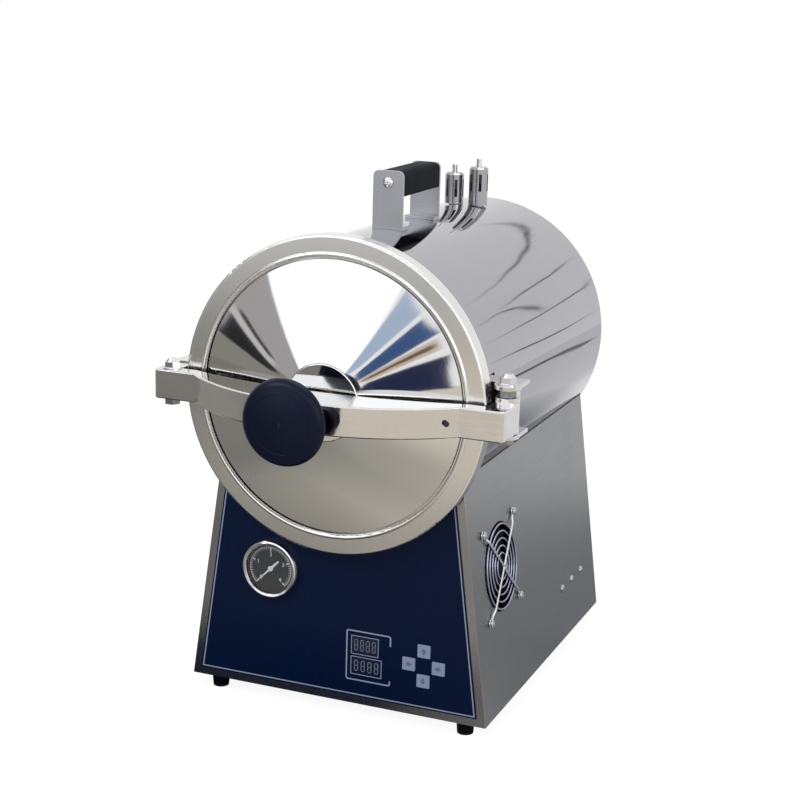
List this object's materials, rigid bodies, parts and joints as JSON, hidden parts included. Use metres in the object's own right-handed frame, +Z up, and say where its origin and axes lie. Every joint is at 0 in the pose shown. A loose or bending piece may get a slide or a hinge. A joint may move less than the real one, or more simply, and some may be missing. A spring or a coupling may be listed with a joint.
{
  "type": "tabletop autoclave",
  "caption": "Tabletop steam autoclave: round chamber in a polished casing on a tapered base, with a dished door on a bowed swing arm closed by a handwheel.",
  "frame": {"origin": "on the floor under the middle of the whole machine, knob and drain spigot included", "axes": "+Z up, +Y from the door towards the back, +X towards the arm's hinge"},
  "size_m": [0.374, 0.566, 0.549],
  "materials": {
    "polished_steel": "polished, near mirror",
    "brushed_steel": "satin brushed",
    "chrome": "bright plated",
    "brass": "machined",
    "navy_overlay": "satin printed film",
    "black_plastic": "moulded, slightly glossy",
    "fan_plastic": "moulded",
    "rubber": "matte",
    "silicone": "translucent off-white",
    "mineral_wool": "fibrous",
    "key_plastic": "satin",
    "display_plastic": "glossy window",
    "circuit_board": "solder-masked",
    "gauge_black": "matte black with white marks",
    "needle_white": "matte white",
    "glass": "clear",
    "core_iron": "varnished"
  },
  "bodies": {
    "case": {"base_pan": "brushed_steel", "side_panel_left": "brushed_steel", "side_panel_right": "brushed_steel", "front_plate": "brushed_steel", "rear_panel": "brushed_steel", "control_overlay": "navy_overlay", "feet": "rubber", "foot_screws": "chrome", "casing_shell": "polished_steel", "casing_end": "polished_steel", "insulation": "mineral_wool", "pressure_vessel": "polished_steel", "vessel_flange": "brushed_steel", "tray_rack": "polished_steel", "trays": "polished_steel", "heater": "chrome", "hinge_bracket": "brushed_steel", "hinge_pin": "chrome", "hinge_nut": "chrome", "catch_bracket": "brushed_steel", "handle_plates": "brushed_steel", "handle_grip": "black_plastic", "handle_screws": "chrome", "exhaust_valve_body": "chrome", "safety_valve_body": "chrome", "gauge_case": "gauge_black", "gauge_bezel": "chrome", "gauge_dial": "gauge_black", "gauge_glass": "glass", "display_windows": "display_plastic", "display_board": "circuit_board", "fan_frame": "black_plastic", "fan_guard": "chrome", "fan_screws": "chrome", "dome_screws": "chrome", "transformer": "core_iron", "solenoid_valve": "brass", "exhaust_pipe": "brass", "drain_spigot": "chrome", "power_inlet": "black_plastic"},
    "arm": {"swing_arm": "brushed_steel", "arm_bush": "brass", "spindle_collar": "black_plastic", "latch_bolt": "chrome", "latch_nut": "chrome"},
    "door": {"door_plate": "brushed_steel", "door_cover": "polished_steel", "door_gasket": "silicone", "door_boss": "polished_steel"},
    "handwheel": {"spindle": "chrome", "handwheel": "black_plastic"},
    "key_up": {"key_up": "key_plastic"},
    "key_left": {"key_left": "key_plastic"},
    "key_right": {"key_right": "key_plastic"},
    "key_down": {"key_down": "key_plastic"},
    "needle": {"gauge_needle": "needle_white"},
    "fan": {"fan_rotor": "fan_plastic"},
    "exhaust_stem": {"exhaust_valve_stem": "chrome"},
    "safety_stem": {"safety_valve_stem": "chrome"},
    "rocker": {"power_rocker": "black_plastic"}
  },
  "joints": [
    {"name": "arm_swing", "type": "hinge", "parent": "case", "child": "arm", "pos_m": [0.174, -0.145, 0.34], "axis": [0, 0, 1], "range_deg": [0, 110]},
    {"name": "door_slide", "type": "slide", "parent": "arm", "child": "door", "axis": [0, -1, 0], "range_m": [0, 0.005]},
    {"name": "handwheel_turn", "type": "hinge", "parent": "door", "child": "handwheel", "pos_m": [0, -0.259, 0.34], "axis": [0, -1, 0], "range_deg": [0, 450]},
    {"name": "key_up_press", "type": "slide", "parent": "case", "child": "key_up", "axis": [0, 1, 0], "range_m": [0, 0.0006], "stiffness_N_per_m": 1500},
    {"name": "key_left_press", "type": "slide", "parent": "case", "child": "key_left", "axis": [0, 1, 0], "range_m": [0, 0.0006], "stiffness_N_per_m": 1500},
    {"name": "key_right_press", "type": "slide", "parent": "case", "child": "key_right", "axis": [0, 1, 0], "range_m": [0, 0.0006], "stiffness_N_per_m": 1500},
    {"name": "key_down_press", "type": "slide", "parent": "case", "child": "key_down", "axis": [0, 1, 0], "range_m": [0, 0.0006], "stiffness_N_per_m": 1500},
    {"name": "needle_swing", "type": "hinge", "parent": "case", "child": "needle", "pos_m": [-0.0735, -0.141, 0.146], "axis": [0, 1, 0], "range_deg": [0, 270], "stiffness_Nm_per_rad": 0.005},
    {"name": "fan_spin", "type": "hinge", "parent": "case", "child": "fan", "pos_m": [0.1458, -0.057, 0.156], "axis": [0.991, 0, 0.134], "continuous": true},
    {"name": "exhaust_stem_lift", "type": "slide", "parent": "case", "child": "exhaust_stem", "axis": [0, 0, 1], "range_m": [0, 0.003], "stiffness_N_per_m": 1500, "springref_m": -0.002},
    {"name": "safety_stem_lift", "type": "slide", "parent": "case", "child": "safety_stem", "axis": [0, 0, 1], "range_m": [0, 0.003], "stiffness_N_per_m": 1500, "springref_m": -0.002},
    {"name": "rocker_tilt", "type": "hinge", "parent": "case", "child": "rocker", "pos_m": [-0.092, 0.25305, 0.094], "axis": [-1, 0, 0], "range_deg": [0, 14]}
  ],
  "couplings": [
    {"joint": "handwheel_turn", "follows": "door_slide", "rad_per_m": 1570.8}
  ]
}
